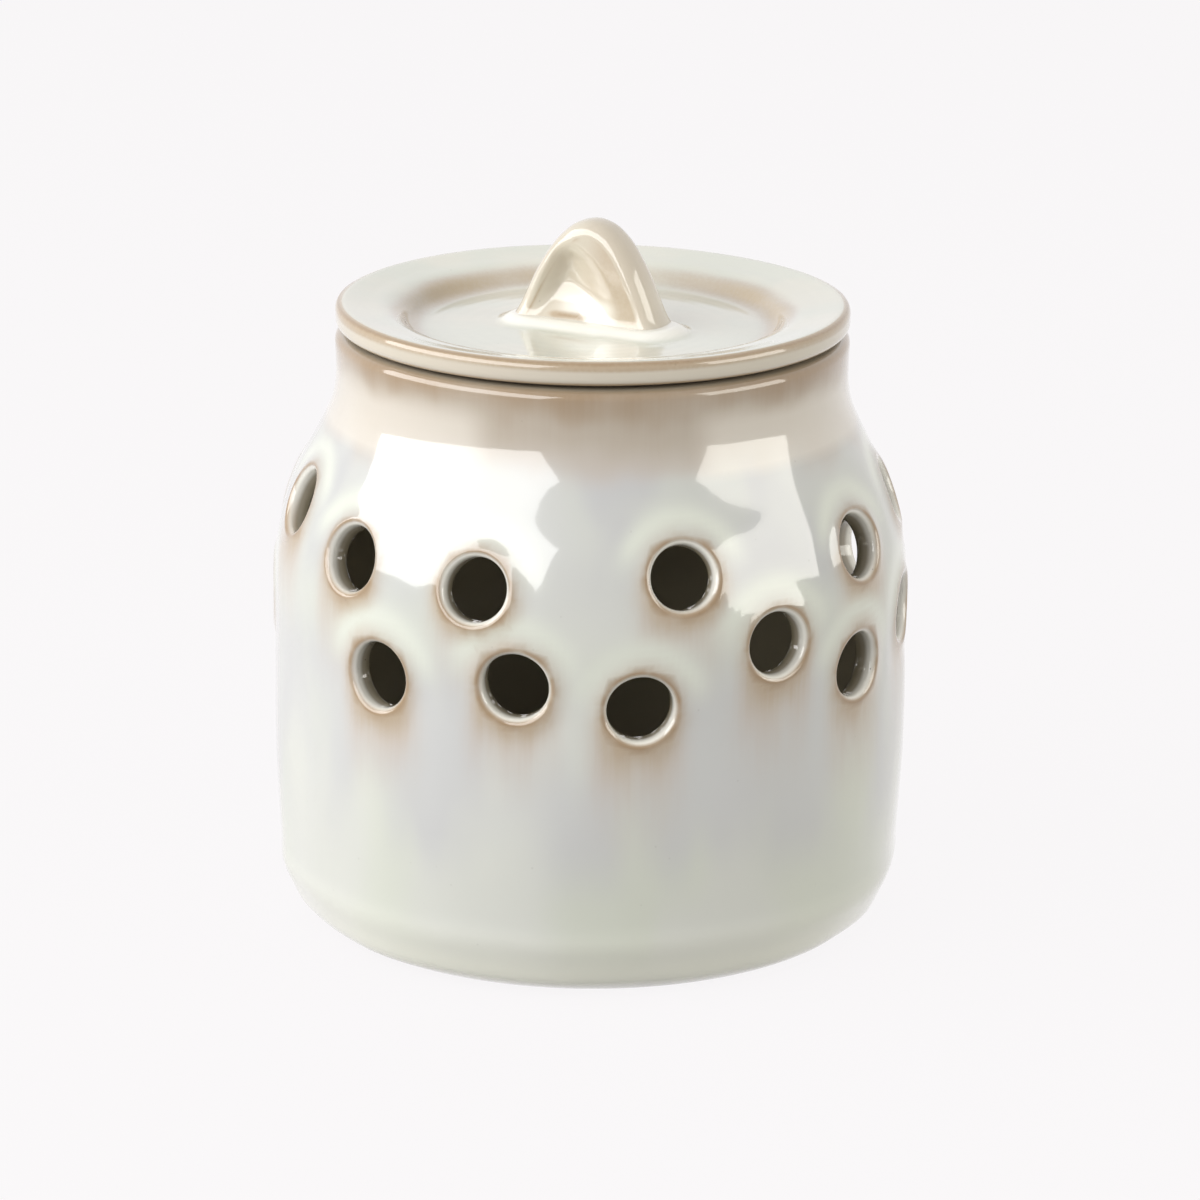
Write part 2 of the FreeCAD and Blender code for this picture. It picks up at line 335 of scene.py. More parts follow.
def punched_slab_tree():
    tree = bpy.data.node_groups.new("punched_slab", "GeometryNodeTree")
    for name, kind in (
        ("Geometry", "Geometry"), ("Columns", "Int"), ("Rows", "Int"), ("Cell Width", "Float"),
        ("Cell Height", "Float"), ("Wall", "Float"), ("Half Patch", "Float"),
        ("Vents", "Object"), ("Grommet", "Object"), ("Clay", "Material"),
    ):
        tree.interface.new_socket(name, in_out="INPUT", socket_type="NodeSocket" + kind)
    tree.interface.new_socket("Geometry", in_out="OUTPUT", socket_type="NodeSocketGeometry")
    given = add(tree, "NodeGroupInput").outputs

    slab = add(tree, "GeometryNodeMeshGrid", {
        "Size X": times(tree, given["Columns"], given["Cell Width"]),
        "Size Y": times(tree, given["Rows"], given["Cell Height"]),
        "Vertices X": math_node(tree, "ADD", given["Columns"], 1.0),
        "Vertices Y": math_node(tree, "ADD", given["Rows"], 1.0),
    })
    vents = add(tree, "GeometryNodeObjectInfo", {"Object": given["Vents"]})
    place = add(tree, "GeometryNodeInputPosition").outputs[0]
    tall_vents = add(tree, "GeometryNodeTransform", {
        "Geometry": vents.outputs["Geometry"], "Scale": TALL,
    })
    tall_place = add(tree, "ShaderNodeVectorMath", {0: place, 1: TALL}, operation="MULTIPLY")
    nearest = add(tree, "GeometryNodeSampleNearest", {
        "Geometry": tall_vents.outputs[0], "Sample Position": tall_place.outputs[0],
    })
    centre = add(tree, "GeometryNodeSampleIndex", {
        "Geometry": vents.outputs["Geometry"], "Value": place, "Index": nearest.outputs[0],
    }, data_type="FLOAT_VECTOR")
    away = add(tree, "ShaderNodeVectorMath", {0: place, 1: centre.outputs[0]},
               operation="SUBTRACT")
    away = add(tree, "ShaderNodeVectorMath", {0: away.outputs[0]}, operation="ABSOLUTE")
    away = add(tree, "ShaderNodeSeparateXYZ", {0: away.outputs[0]})
    inside = []
    for axis, cell in (("X", "Cell Width"), ("Y", "Cell Height")):
        reach = times(tree, given[cell], given["Half Patch"])
        inside.append(math_node(tree, "LESS_THAN", away.outputs[axis], reach))
    open_slab = add(tree, "GeometryNodeDeleteGeometry", {
        "Geometry": slab.outputs["Mesh"], "Selection": times(tree, *inside),
    }, domain="FACE")

    shift = add(tree, "ShaderNodeCombineXYZ", {"Z": times(tree, given["Wall"], -1.0)})
    back = add(tree, "GeometryNodeTransform", {
        "Geometry": open_slab.outputs[0], "Translation": shift.outputs[0],
    })
    back = add(tree, "GeometryNodeFlipFaces", {"Mesh": back.outputs[0]})
    lining = add(tree, "GeometryNodeObjectInfo", {"Object": given["Grommet"]})
    lined = add(tree, "GeometryNodeInstanceOnPoints", {
        "Points": vents.outputs["Geometry"], "Instance": lining.outputs["Geometry"],
    })
    joined = add(tree, "GeometryNodeJoinGeometry")
    for part in (open_slab.outputs[0], back.outputs[0], lined.outputs[0]):
        tree.links.new(part, joined.inputs[0])
    real = add(tree, "GeometryNodeRealizeInstances", {"Geometry": joined.outputs[0]})
    welded = add(tree, "GeometryNodeMergeByDistance", {
        "Geometry": real.outputs[0], "Distance": WELD_SLAB,
    })
    clay = add(tree, "GeometryNodeSetMaterial", {
        "Geometry": welded.outputs[0], "Material": given["Clay"],
    })
    add(tree, "NodeGroupOutput", {0: clay.outputs[0]})
    return tree


# %% Run the tree and keep its result as a plain mesh
def put(name, data):
    """An object with this data, put in the scene."""
    made = bpy.data.objects.new(name, data)
    bpy.context.scene.collection.objects.link(made)
    return made


def evaluated_copy(carrier):
    """A plain mesh of what an object's modifiers make."""
    bpy.context.view_layer.update()
    result = carrier.evaluated_get(bpy.context.evaluated_depsgraph_get())
    return bpy.data.meshes.new_from_object(result)


def punch_the_slab(finish):
    centres = bpy.data.meshes.new("vent_centres")
    centred = vent_flat - (slab_width / 2, WALL_LENGTH / 2)
    centres.from_pydata([(x * MM, y * MM, 0.0) for x, y in centred], [], [])
    points = put("vent_centres", centres)
    lining = put("grommet", grommet)
    carrier = put("slab", bpy.data.meshes.new("slab"))
    tree = punched_slab_tree()
    sizes = {
        "Columns": COLUMNS, "Rows": ROWS, "Cell Width": CELL * MM, "Cell Height": ROW * MM,
        "Wall": WALL * MM, "Half Patch": float(HALF_PATCH),
        "Vents": points, "Grommet": lining, "Clay": finish,
    }
    punch = carrier.modifiers.new("punch", "NODES")
    punch.node_group = tree
    for socket in tree.interface.items_tree:
        if socket.in_out == "INPUT" and socket.name in sizes:
            punch[socket.identifier] = sizes[socket.name]
    mesh = evaluated_copy(carrier)
    for spare in (carrier, points, lining):
        bpy.data.objects.remove(spare)
    return mesh


jar_glaze = bpy.data.materials.new("reactive_glazed_stoneware_jar")
slab_mesh = punch_the_slab(jar_glaze)
slab_points = np.zeros(len(slab_mesh.vertices) * 3)
slab_mesh.vertices.foreach_get("co", slab_points)
slab_points = slab_points.reshape(-1, 3) / MM
slab_faces = [tuple(face.vertices) for face in slab_mesh.polygons]
patch_faces = len(VENTS) * 2 * (2 * HALF_PATCH) ** 2
whole = 2 * COLUMNS * ROWS - patch_faces + len(VENTS) * GROMMET_FACES
print("punched slab:", len(slab_points), "points,", len(slab_faces), "faces of", whole)

# %% [markdown]
# ## From slab to wall
# Now the slab is bent round. Each point has a distance across, a distance up and a depth into the
# clay, and those give its angle, its place on the profile and its wall depth.
#
# Before that, two small corrections keep each vent true. The patches sit on whole cells, so each
# vent slides to its real centre. The slab is as wide as the belly, so up at the shoulder the
# vents are widened to stay round. Each one is also a little out of round, as a hand leaves it.


# %% Slide, widen and loosen the vents
# The clay moves with its vent up to the first radius, and stays put beyond the second
HOLD_RADII = (8.1, 11.5)
OUT_OF_ROUND = 0.035
UNEVEN_SIZE = 0.02


def nearest_vent(across, up):
    """How far the nearest vent is along both ways, and how much narrower the jar is there."""
    side = short_way(across[:, None] - vent_true[None, :, 0], slab_width)
    rise = up[:, None] - vent_true[None, :, 1]
    index = np.hypot(side * vent_narrow, rise).argmin(axis=1)
    rows = np.arange(len(across))
    return side[rows, index] * vent_narrow[index], rise[rows, index], vent_narrow[index]


def settle_vents(across, up):
    moved_across = across.copy()
    moved_up = up.copy()
    shaker = np.random.default_rng(7)
    for true, flat, narrow in zip(vent_true, vent_flat, vent_narrow):
        side = across - flat[0]
        rise = up - flat[1]
        hold = 1 - soft_step(np.hypot(side, rise), *HOLD_RADII)
        turn = np.arctan2(rise, side)
        egg = shaker.uniform(0.0, OUT_OF_ROUND)
        lean = shaker.uniform(0, 2 * math.pi)
        size = 1 + shaker.uniform(-UNEVEN_SIZE, UNEVEN_SIZE) + egg * np.cos(2 * turn - lean)
        moved_across += hold * (true[0] - flat[0] + side * (size / narrow - 1))
        moved_up += hold * (true[1] - flat[1] + rise * (size - 1))
    return moved_across, moved_up


across = slab_points[:, 0] + slab_width / 2
up = slab_points[:, 1] + WALL_LENGTH / 2
depth = -slab_points[:, 2]
across, up = settle_vents(across, up)
wall_radius, wall_height = wall_place(up, depth)
wall_angle = np.radians(SEAM_ANGLE) + across / slab_width * 2 * math.pi
print("vents settled; widest shift", round(float(np.abs(vent_true - vent_flat).max()), 2), "mm")

# %% [markdown]
# ## Foot, rim and floor
# The rest of the jar is plain turning. Its strips use the same columns as the slab, so their edge
# points fall on the slab's and the whole jar closes into one skin.


# %% Turn the strips
def turn_strip(profile, columns=COLUMNS, start=SEAM_ANGLE):
    """A strip of faces: a profile turned once round the axis."""
    angles = np.radians(start) + np.arange(columns + 1) / columns * 2 * math.pi
    radius = np.repeat(profile[:, 0], columns + 1)
    height = np.repeat(profile[:, 1], columns + 1)
    angle = np.tile(angles, len(profile))
    return radius, height, angle, grid_faces(len(profile), columns + 1)


def to_xyz(radius, height, angle):
    return np.stack([radius * np.sin(angle), -radius * np.cos(angle), height], axis=1)


RECESS_ROUND = 2.0
RIM_DROP = 0.15
outer_start = wall_fine[0]
outer_end = wall_fine[-1]
inner_start = np.array(wall_place(0.0, WALL))
inner_end = np.array(wall_place(WALL_LENGTH, WALL))
foot_inner = FOOT_RADIUS - FOOT_RING

foot_profile = np.concatenate([
    even_steps(np.array([(0.0, FOOT_RECESS), (foot_inner - 3.0, FOOT_RECESS)]), 3.0),
    quarter((foot_inner - RECESS_ROUND, FOOT_RECESS), (foot_inner, 0.0),
            (foot_inner - RECESS_ROUND, 0.0), 5),
    [(foot_inner + 1.5, 0.0), (FOOT_RADIUS - 2.0, 0.0)],
    quarter((FOOT_RADIUS, 0.0), outer_start, (FOOT_RADIUS, CORNER_HEIGHT), 18),
])
rim_out = (outer_end[0] - RIM_OUTSIDE, RIM_HEIGHT - RIM_DROP)
rim_in = (inner_end[0] + RIM_INSIDE, RIM_HEIGHT)
rim_profile = np.concatenate([
    quarter(outer_end, rim_out, (rim_out[0], outer_end[1]), 8),
    quarter(rim_in, inner_end, (rim_in[0], inner_end[1]), 5),
])
floor_edge = (inner_start[0] - INNER_CORNER, FLOOR)
inside_profile = np.concatenate([
    quarter(inner_start, floor_edge, (floor_edge[0], inner_start[1]), 8),
    even_steps(np.array([floor_edge, (0.0, FLOOR)]), 4.0)[1:],
])
print("foot, rim and inside strips:", len(foot_profile), len(rim_profile), len(inside_profile))

# %% [markdown]
# ## The swell of the clay
# No hand-thrown wall is true. Long soft dents wander over it, shallow flutes run down the lower
# body, and the clay stands up a little round each vent where the punch went in. These are tenths
# of a millimetre, but a gloss glaze shows them all in the edges of its reflections.


# %% How far the skin stands proud of the true profile, in millimetres
# Soft dents seen in the wall: angle from the front, height, width, how tall, and depth
DENTS = [
    (48, 50, 11, 13, 0.55), (24, 52, 7, 10, 0.35), (66, 40, 9, 16, 0.35),
    (74, 58, 7, 9, 0.3), (-4, 78, 9, 17, 0.30), (-14, 90, 8, 8, 0.30),
    (30, 93, 10, 8, 0.35), (-62, 45, 12, 20, 0.3), (130, 45, 12, 18, 0.4),
    (-150, 50, 12, 20, 0.4), (-115, 42, 9, 18, 0.35), (95, 40, 9, 18, 0.3),
]
# Rolls round the base, then rings round a vent: where, width, and how far out
BASE_ROLLS = [(12.5, 2.5, 0.20), (7.4, 2.2, -0.26), (3.4, 1.3, 0.25)]
VENT_RINGS = [(7.6, 1.4, 0.24), (11.0, 2.6, -0.12)]


def noise_at(points, size, seed):
    """Smooth noise in -1 to 1 at each point, with bumps about one size wide."""
    shift = Vector((seed * 17.3, seed * 5.1, seed * 11.7))
    return np.array([noise.noise(Vector(point) / size + shift) for point in points])


def swell(angle, height, radius):
    points = to_xyz(radius, height, angle)
    rise = 0.34 * noise_at(points, 38.0, 1) + 0.03 * noise_at(points, 19.0, 2)
    flutes = noise_at(points * (1, 1, 0.13), 15.0, 3)
    lower = 1 - soft_step(height, 46, 66)
    rise += flutes * (0.06 + 0.55 * lower)
    rise += sum(proud * hump(height, level, width) for level, width, proud in BASE_ROLLS)
    for turn, level, width, tall, deep in DENTS:
        side = np.radians(short_way(np.degrees(angle) - turn, 360)) * BODY_RADIUS
        rise -= deep * hump(side, 0, width) * hump(height, level, tall)
    return rise * soft_step(height, 0.0, 3.0)


def lip_rise(reach):
    """The clay round a vent: a soft ring just outside the lip, then a slight hollow."""
    return sum(proud * hump(reach, radius, width) for radius, width, proud in VENT_RINGS)


# %% Put the wall and the strips together
def jar_skin():
    """All of the jar's points, its faces, and what the glaze needs to know at each point."""
    side, rise, _ = nearest_vent(across, up)
    reach = np.hypot(side, rise)
    outside = 1 - soft_step(depth, 0.0, WALL)
    proud = swell(wall_angle, wall_height, wall_radius) * outside
    proud += lip_rise(reach) * (1 - soft_step(depth, 0.0, 2.5))
    parts = [(*wall_place(up, depth - proud), wall_angle, outside)]
    faces = list(slab_faces)
    total = len(wall_radius)
    fade = np.linspace(1, 0, len(rim_profile))
    strips = (
        (foot_profile, wall_slope[0], soft_step(foot_profile[:, 0], 46, 56), 1.0),
        (rim_profile, wall_slope[-1], fade, fade),
        (inside_profile, wall_slope[0], 0.0, 0.0),
    )
    for profile, lean, amount, shown in strips:
        radius, height, angle, strip_faces = turn_strip(profile)
        rows = np.ones(len(profile))
        grow = swell(angle, height, radius) * np.repeat(rows * amount, COLUMNS + 1)
        shown = np.repeat(rows * shown, COLUMNS + 1)
        parts.append((radius + grow * lean[1], height - grow * lean[0], angle, shown))
        faces += [tuple(corner + total for corner in face) for face in strip_faces]
        total += len(radius)
    radius, height, angle, outer = (np.concatenate(values) for values in zip(*parts))
    return radius, height, angle, outer, faces


skin_radius, skin_height, skin_angle, skin_outer, skin_faces = jar_skin()
print("jar skin:", len(skin_radius), "points before welding")

# %% [markdown]
# ## What the glaze needs to know
# A reactive glaze is thin where it runs off an edge, and there the tan clay shows through. It
# runs down from each vent in a warm streak. So each point of the skin carries a few numbers: how
# near a vent's lip it is, how far down a streak it lies, and whether it is outside or inside.


# %% Numbers for the glaze, one per point
# Width and length of a vent's streak: the strong drip first, then the faint wash
DRIP = (7.8, 6.5)
WASH = (10.0, 15.0)


def streak(aside, past, width, length):
    return hump(aside, 0, width, 4) * hump(past, 0, length)


def glaze_numbers(radius, height, angle, outer):
    span = (np.degrees(angle) - SEAM_ANGLE) % 360 / 360 * slab_width
    level = np.interp(height, wall_fine[:, 1], wall_along)
    side, rise, narrow = nearest_vent(span, level)
    reach = np.hypot(side, rise)
    sunk = np.interp(level, wall_along, wall_fine[:, 0]) - radius
    near_wall = (height > CORNER_HEIGHT) & (height < RIM_HEIGHT - RIM_OUTSIDE)
    on_skin = (1 - soft_step(sunk, 1.6, 2.6)) * near_wall
    blush = hump(np.maximum(reach, 7.4), 7.4, 2.2) * (0.45 + 0.55 * soft_step(-rise, -5, 7))
    shaker = np.random.default_rng(11)
    length = shaker.uniform(0.8, 1.25, len(VENTS))
    sway = shaker.uniform(-0.06, 0.06, len(VENTS))
    drip, wash, halo = np.zeros((3, len(radius)))
    for vent in range(len(VENTS)):
        aside = short_way(span - vent_true[vent, 0], slab_width)
        below = vent_true[vent, 1] - level
        close = np.hypot(aside * narrow, below)
        halo = np.maximum(halo, hump(close, 11.5, 2.6) * soft_step(-below, -2, 7))
        aside = aside - sway[vent] * below
        past = np.maximum(below - 6.5, 0) / length[vent]
        under = soft_step(below, -5.0, 5.0)
        drip = np.maximum(drip, under * streak(aside, past, *DRIP))
        wash = np.maximum(wash, under * streak(aside, past, *WASH))
    # The sides of the neck, left and right of the front, get the pale number: a painted reflection
    # of the two soft boxes.
    turned = np.abs(short_way(np.degrees(angle), 360))
    sides = soft_step(turned, 20, 30) * (1 - soft_step(turned, 100, 130))
    pale = sides * soft_step(height, 100.5, 102.5) * (1 - soft_step(height, 110, 116.5))
    return {
        "lip": hump(reach, 7.45, 0.55) * on_skin, "blush": blush * on_skin,
        "bore": (1 - soft_step(reach, 6.5, 7.1)) * near_wall, "drip": drip * near_wall,
        "wash": wash * near_wall, "pale": pale, "halo": halo * near_wall, "outside": outer,
    }


# %% Make the jar's object
WELD = 0.01 * MM


def make_piece(name, points, faces, numbers, finish):
    """A welded, outward-facing, smooth mesh object with its glaze numbers."""
    mesh = bpy.data.meshes.new(name)
    mesh.from_pydata((points * MM).tolist(), [], faces)
    for label, values in numbers.items():
        attribute = mesh.attributes.new(label, "FLOAT", "POINT")
        attribute.data.foreach_set("value", np.asarray(values, np.float32))
    body = bmesh.new()
    body.from_mesh(mesh)
    bmesh.ops.remove_doubles(body, verts=body.verts, dist=WELD)
    bmesh.ops.recalc_face_normals(body, faces=body.faces)
    loose = sum(1 for edge in body.edges if not edge.is_manifold)
    body.to_mesh(mesh)
    body.free()
    mesh.materials.append(finish)
    mesh.shade_smooth()
    print(name, len(mesh.vertices), "points,", len(mesh.polygons), "faces,", loose, "open edges")
    return put(name, mesh)


jar = make_piece(
    "jar_skin", to_xyz(skin_radius, skin_height, skin_angle), skin_faces,
    glaze_numbers(skin_radius, skin_height, skin_angle, skin_outer), jar_glaze,
)

# %% [markdown]
# ## The lid
# The lid is thrown right way up: a flat rim, a step down, and a sunk floor whose underside drops
# into the neck. Every edge is soft. The floor keeps the faint rings of the throwing, and a low
# bead of slip spreads over it where the handle was pressed on.

# %% Sizes of the lid and of the handle's foot, in millimetres
LID_RADIUS = (lid_high.x - lid_low.x) / 2 / MM
LID_TOP = lid_high.z / MM
LID_UNDER = lid_low.z / MM
PLUG_RADIUS = 44.0
PLUG_TAPER = 1.0
UNDER_ROUND = 1.7
EDGE_LIFT = 0.6
SEAT_RADIUS = 48.0
TOP_ROUND = 1.6
CREST_RADIUS = 38.6
CREST_DROP = 1.7
DISH_RADIUS = 35.0
DISH_FLOOR = handle_low.z / MM
LID_COLUMNS = 288

HANDLE_HEIGHT = (handle_high.z - handle_low.z) / MM
HANDLE_LENGTH = 31.0
HANDLE_THICKNESS = 10.0
HANDLE_TOP_THICKNESS = 8.0
HANDLE_TURN = math.radians(-26.8)
HANDLE_SETBACK = 1.5
SLIP_REACH = 4.8
SLIP_RISE = 1.6
print("lid radius", round(LID_RADIUS, 2), "floor of the dish at", round(DISH_FLOOR, 2))


# %% Profile of the lid, from the middle of its underside round to the middle of its floor
def lid_profile():
    plug_low = PLUG_RADIUS - PLUG_TAPER
    lifted = RIM_HEIGHT + EDGE_LIFT
    edge_low = (LID_RADIUS, lifted + UNDER_ROUND)
    edge_high = (LID_RADIUS, LID_TOP - TOP_ROUND)
    slope = smooth_line([
        (CREST_RADIUS + 6.0, LID_TOP - CREST_DROP + 0.95),
        (CREST_RADIUS + 1.6, LID_TOP - CREST_DROP + 0.12),
        (CREST_RADIUS - 0.9, LID_TOP - CREST_DROP - 0.95),
        (DISH_RADIUS + 1.1, DISH_FLOOR + 0.75),
        (DISH_RADIUS - 1.2, DISH_FLOOR + 0.08),
        (DISH_RADIUS - 4.0, DISH_FLOOR),
    ], 0.4)
    return np.concatenate([
        even_steps(np.array([(0.0, LID_UNDER), (plug_low - 1.5, LID_UNDER)]), 2.5),
        quarter((plug_low - 1.2, LID_UNDER), (plug_low + 0.2, LID_UNDER + 1.2),
                (plug_low - 1.2, LID_UNDER + 1.2), 5)[1:],
        [(PLUG_RADIUS - 0.1, RIM_HEIGHT - 0.5), (PLUG_RADIUS + 0.5, RIM_HEIGHT)],
        [(SEAT_RADIUS - 0.6, RIM_HEIGHT), (SEAT_RADIUS, lifted - 0.1)],
        quarter((LID_RADIUS - UNDER_ROUND, lifted), edge_low,
                (LID_RADIUS - UNDER_ROUND, edge_low[1]), 8),
        [(LID_RADIUS, (edge_low[1] + edge_high[1]) / 2)],
        quarter(edge_high, (LID_RADIUS - TOP_ROUND, LID_TOP),
                (LID_RADIUS - TOP_ROUND, edge_high[1]), 8),
        even_steps(np.array([(LID_RADIUS - TOP_ROUND - 0.6, LID_TOP - 0.06),
                             (CREST_RADIUS + 6.6, LID_TOP - CREST_DROP + 1.07)]), 0.8),
        slope,
        even_steps(np.array([(DISH_RADIUS - 4.5, DISH_FLOOR), (0.0, DISH_FLOOR)]), 0.7),
    ])


# %% How the handle lies on the lid
def to_handle(x, y):
    """Distances along and across the handle, from a place on the lid."""
    along = x * math.cos(HANDLE_TURN) + (y - HANDLE_SETBACK) * math.sin(HANDLE_TURN)
    aside = -x * math.sin(HANDLE_TURN) + (y - HANDLE_SETBACK) * math.cos(HANDLE_TURN)
    return along, aside


def slip_bead(x, y):
    """Height of the slip spread round the handle's foot."""
    along, aside = to_handle(x, y)
    straight = HANDLE_LENGTH / 2 - HANDLE_THICKNESS / 2
    past = np.maximum(np.abs(along) - straight - 1.5 * soft_step(along, 4, 12), 0)
    reach = np.hypot(past, aside + 0.9) - HANDLE_THICKNESS / 2
    wander = 0.35 * np.sin(along * 0.42 + 1.0)
    return SLIP_RISE * (1 - soft_step(reach - wander, SLIP_REACH - 4.4, SLIP_REACH))


# %% Turn the lid, then give it its small unevenness
def make_lid(finish):
    profile = lid_profile()
    radius, height, angle, faces = turn_strip(profile, LID_COLUMNS, 0.0)
    row = np.repeat(np.arange(len(profile)), LID_COLUMNS + 1)
    first_top = int(np.argmax(profile[:, 1] > LID_TOP - 0.01))
    top_side = row >= first_top - 3
    floor = top_side & (radius < DISH_RADIUS - 1)
    points = to_xyz(radius, height, angle)
    slip = np.where(floor, slip_bead(points[:, 0], points[:, 1]), 0)
    uneven = 0.12 * noise_at(points, 28.0, 21) + 0.015 * noise_at(points, 12.0, 22)
    rings = 0.007 * np.sin(radius * 2 * math.pi / 2.9 + 1.5 * noise_at(points, 30.0, 23))
    rings *= soft_step(radius, 6, 16)
    height = height + np.where(top_side, uneven - 0.12, 0) + np.where(floor, rings, 0) + slip
    edge = soft_step(radius, LID_RADIUS - 6, LID_RADIUS - 0.5)
    radius = radius + edge * (0.14 * noise_at(points, 30.0, 24) - 0.08)
    high = hump(radius, LID_RADIUS - 0.7, 0.62) * (height > LID_TOP - 1.7)
    low = hump(height, RIM_HEIGHT + EDGE_LIFT, 0.7) * (radius > LID_RADIUS - 3)
    sides = 0.3 + 0.7 * np.abs(np.sin(angle + 0.15)) ** 1.5
    numbers = {
        "edge": np.maximum(high, 0.8 * low),
        "slope": hump(radius, CREST_RADIUS - 1.8, 2.8) * top_side * sides,
        # The slip's number: white slip, painted brighter as a painted highlight of the soft box on
        # its rounded front.
        "slip_white_and_highlight": soft_step(slip / SLIP_RISE, 0.0, 0.5),
        "side": soft_step(radius, LID_RADIUS - 1.3, LID_RADIUS - 0.4),
        # The underside: unglazed clay, with painted shade in the crevice between lid and rim.
        "under": (~top_side & (radius < LID_RADIUS - 1.5)) * 1.0,
    }
    return make_piece("lid_skin", to_xyz(radius, height, angle), faces, numbers, finish)


lid_glaze = bpy.data.materials.new("reactive_glazed_stoneware_lid")
lid = make_lid(lid_glaze)

# %% [markdown]
# ## The handle
# The potter joins a thick strap of clay to the lid and pinches it, so it becomes an arch with a
# thumb's hollow on both faces. Its skin is one sweep: from the middle of the front face out to
# the arch's edge, over the edge, and back in to the middle of the back face.

# %% Shape of the handle, in millimetres
# The arch's outline, as distance along and height, both as parts of its own length and height
ARCH = [
    (-0.500, 0.00), (-0.455, 0.15), (-0.375, 0.42), (-0.285, 0.66), (-0.185, 0.85),
    (-0.085, 0.965), (0.010, 1.00), (0.110, 0.965), (0.215, 0.84), (0.305, 0.65),
    (0.385, 0.42), (0.455, 0.17), (0.500, 0.00),
]
EDGE_ROUND = 2.5
CROWN = 0.6
EDGE_POWER = 0.8
HOLLOW_DEPTH = 3.6
HOLLOW_TOP = 17.6
HOLLOW_INSET = 2.2
# The hollow's right edge, as distance along and height
HOLLOW_RIGHT = np.array([
    (7.0, -1.0), (6.4, 3.0), (5.2, 7.0), (3.4, 10.5), (1.2, 13.5), (-1.5, 15.8), (-6.0, 17.6),
])
LEFT_FOOT = np.array(ARCH[:6]) * (HANDLE_LENGTH, HANDLE_HEIGHT)
HOLLOW_MIDDLE = -1.0
FLARE = 1.0
FLARE_HEIGHT = 1.3
TOP_MARGIN = 0.5
FACE_ROWS = 30
EDGE_TURNS = np.radians(np.linspace(6, 84, 13))


# %% Sweep the handle
def half_thickness(height):
    low = HANDLE_THICKNESS / 2
    high = HANDLE_TOP_THICKNESS / 2
    return low + (high - low) * np.clip(height / HANDLE_HEIGHT, 0, 1)


def into_hollow(along, height):
    """How far inside the hollow a place on the face is: from its left, right and top edges."""
    left = np.interp(height, LEFT_FOOT[:, 1], LEFT_FOOT[:, 0]) + HOLLOW_INSET
    right = np.interp(height, HOLLOW_RIGHT[:, 1], HOLLOW_RIGHT[:, 0])
    return along - left, right - along, HOLLOW_TOP - height


def hollow(along, height):
    """Depth of the thumb's hollow: steep at its left, gentle at its right, a ramp at its foot."""
    left, right, top = into_hollow(along, height)
    bowl = soft_step(left, -1.0, 4.2) * soft_step(right, -2.0, 8.5) * soft_step(top, -1.0, 5.0)
    ramp = soft_step(height, -1.0, 8.6)
    return HOLLOW_DEPTH * bowl * ramp


def face_depth(flat):
    """How far a face of the handle lies from its middle plane."""
    return half_thickness(flat[:, 1]) - hollow(flat[:, 0], flat[:, 1])


def sweep_handle():
    """Rows of points over the handle: along, aside, height, and how far in on a face."""
    arch_size = (HANDLE_LENGTH, HANDLE_HEIGHT - CROWN - TOP_MARGIN)
    arch = smooth_line(np.array(ARCH) * arch_size, 0.5)
    slope = np.gradient(arch, axis=0)
    outward = np.stack([-slope[:, 1], slope[:, 0]], axis=1)
    outward /= np.hypot(*outward.T)[:, None]
    middle = np.array((HOLLOW_MIDDLE, 0.0))
    half = []
    for inward in np.linspace(1.0, 0.0, FACE_ROWS):
        flat = middle + (1 - inward) * (arch - outward * EDGE_ROUND - middle)
        half.append((flat, face_depth(flat), inward))
    for turn in EDGE_TURNS:
        high = math.sin(turn) ** EDGE_POWER
        wide = math.cos(turn) ** EDGE_POWER
        flat = arch + outward * ((EDGE_ROUND + CROWN) * high - EDGE_ROUND)
        half.append((flat, wide * face_depth(flat), -1.0))
    rows = [(flat, -thick, inward) for flat, thick, inward in half]
    rows.append((arch + outward * CROWN, np.zeros(len(arch)), -1.0))
    rows += half[::-1]
    along = np.concatenate([flat[:, 0] for flat, _, _ in rows])
    aside = np.concatenate([thick for _, thick, _ in rows])
    height = np.maximum(np.concatenate([flat[:, 1] for flat, _, _ in rows]), 0.0)
    inward = np.repeat([inward for _, _, inward in rows], len(arch))
    return along, aside, height, inward, grid_faces(len(rows), len(arch))


def handle_numbers(along, height, inward):
    left, right, top = into_hollow(along, height)
    on_face = (inward > -0.01) * soft_step(height, 0.5, 2.5)
    near = np.minimum(left, top * 1.2)
    rim = 0.95 * hump(near, -0.1, 0.9) * (1 - soft_step(along, -5.0, 1.0))
    column = 0.36 * soft_step(-right, -2.0, 2.5) * soft_step(along, -1.0, 5.0)
    crescent = hump(along, -3.0, 4.5, 4) * hump(height, 2.1, 0.7)
    rim = np.maximum(np.maximum(rim, column) * on_face, crescent * (inward > 0.3))
    # The ramp at the foot of the hollow is painted white: a painted reflection of the soft box
    # that it faces.
    ramp = hump(along, 0.5, 6.0, 4) * hump(height, 3.2, 2.4, 4) * (1 - crescent)
    nothing = np.zeros(len(along))
    return {
        "edge": rim, "slope": hump(height, 0.7, 0.6), "slip_white_and_highlight": 0.9 * ramp * (inward > 0.12),
        "under": nothing, "side": nothing,
    }


